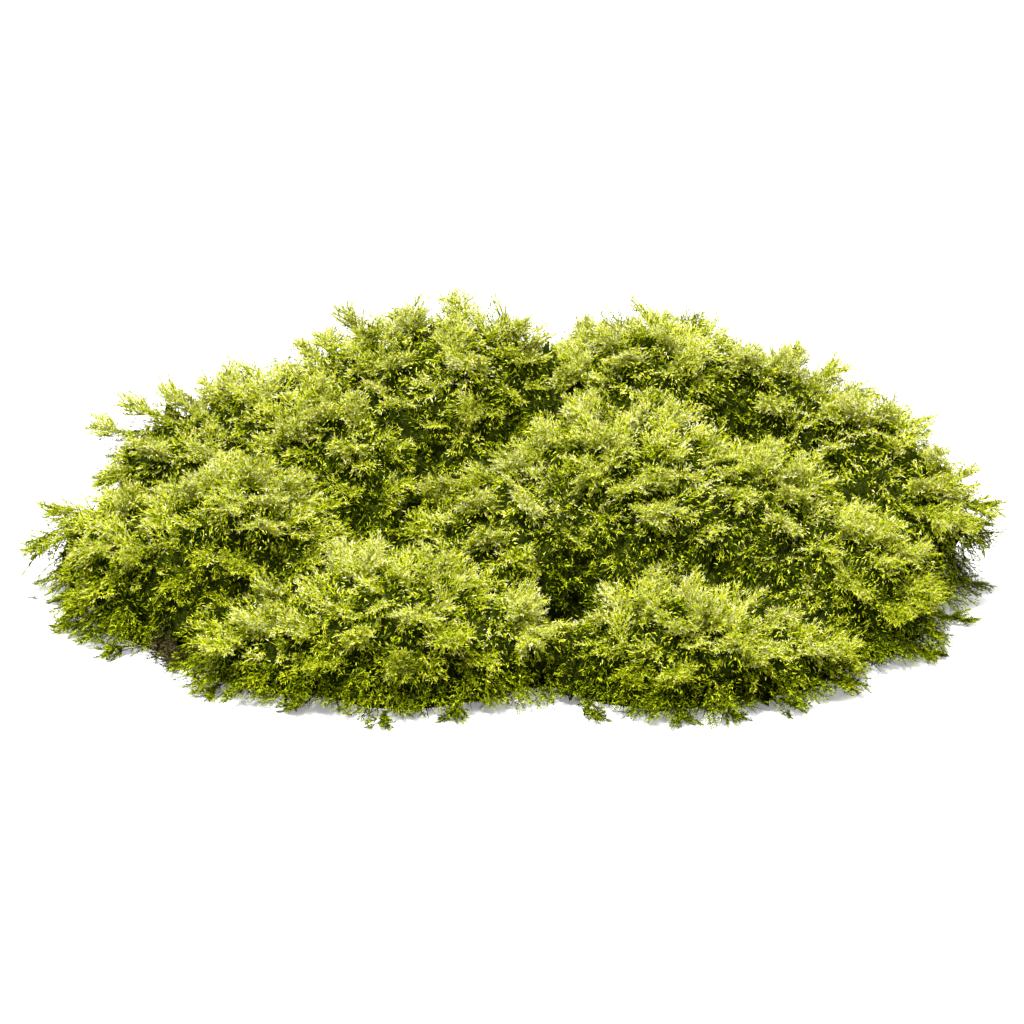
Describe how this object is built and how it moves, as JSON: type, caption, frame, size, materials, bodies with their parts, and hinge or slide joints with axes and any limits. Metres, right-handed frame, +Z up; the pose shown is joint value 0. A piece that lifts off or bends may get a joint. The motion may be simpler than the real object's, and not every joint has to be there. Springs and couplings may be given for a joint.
{
  "type": "moss clump",
  "caption": "Low, wide clump of feathery green moss: rounded tufts crowd on a thin mat of old brown growth, with shoots trailing from its rim, cut off flat to rest on a surface.",
  "frame": {"origin": "on the surface that the clump rests on, under the middle of its bounding box", "axes": "+X along the clump's length, to the right in the picture's view; +Y away from that viewer; +Z up"},
  "size_m": [0.3464, 0.264, 0.0976],
  "materials": {
    "moss": "matte",
    "trailing_moss": "matte",
    "brown_growth": "matte"
  },
  "bodies": {
    "root": {"back_crest_left_tuft": "moss", "back_crest_right_tuft": "moss", "back_left_tuft": "moss", "back_right_tuft": "moss", "brown_mat": "brown_growth", "centre_left_tuft": "moss", "centre_tuft": "moss", "far_left_tuft": "moss", "far_right_tuft": "moss", "front_centre_tuft": "moss", "front_left_tuft": "moss", "front_middle_left_tuft": "moss", "front_middle_right_tuft": "moss", "front_right_foot_tuft": "moss", "front_right_tuft": "moss", "left_back_tuft": "moss", "left_foot_tuft": "moss", "left_middle_tuft": "moss", "left_shoulder_tuft": "moss", "middle_back_left_tuft": "moss", "rear_left_tuft": "moss", "rear_middle_tuft": "moss", "rear_right_tuft": "moss", "right_middle_tuft": "moss", "right_shoulder_tuft": "moss", "trailing_shoot_01": "trailing_moss", "trailing_shoot_02": "trailing_moss", "trailing_shoot_03": "trailing_moss", "trailing_shoot_04": "trailing_moss", "trailing_shoot_05": "trailing_moss", "trailing_shoot_06": "trailing_moss", "trailing_shoot_07": "trailing_moss", "trailing_shoot_08": "trailing_moss", "trailing_shoot_09": "trailing_moss", "trailing_shoot_10": "trailing_moss", "trailing_shoot_11": "trailing_moss", "trailing_shoot_12": "trailing_moss", "trailing_shoot_13": "trailing_moss", "trailing_shoot_14": "trailing_moss", "trailing_shoot_15": "trailing_moss", "trailing_shoot_16": "trailing_moss", "trailing_shoot_17": "trailing_moss", "trailing_shoot_18": "trailing_moss", "trailing_shoot_19": "trailing_moss", "trailing_shoot_20": "trailing_moss"}
  },
  "joints": []
}
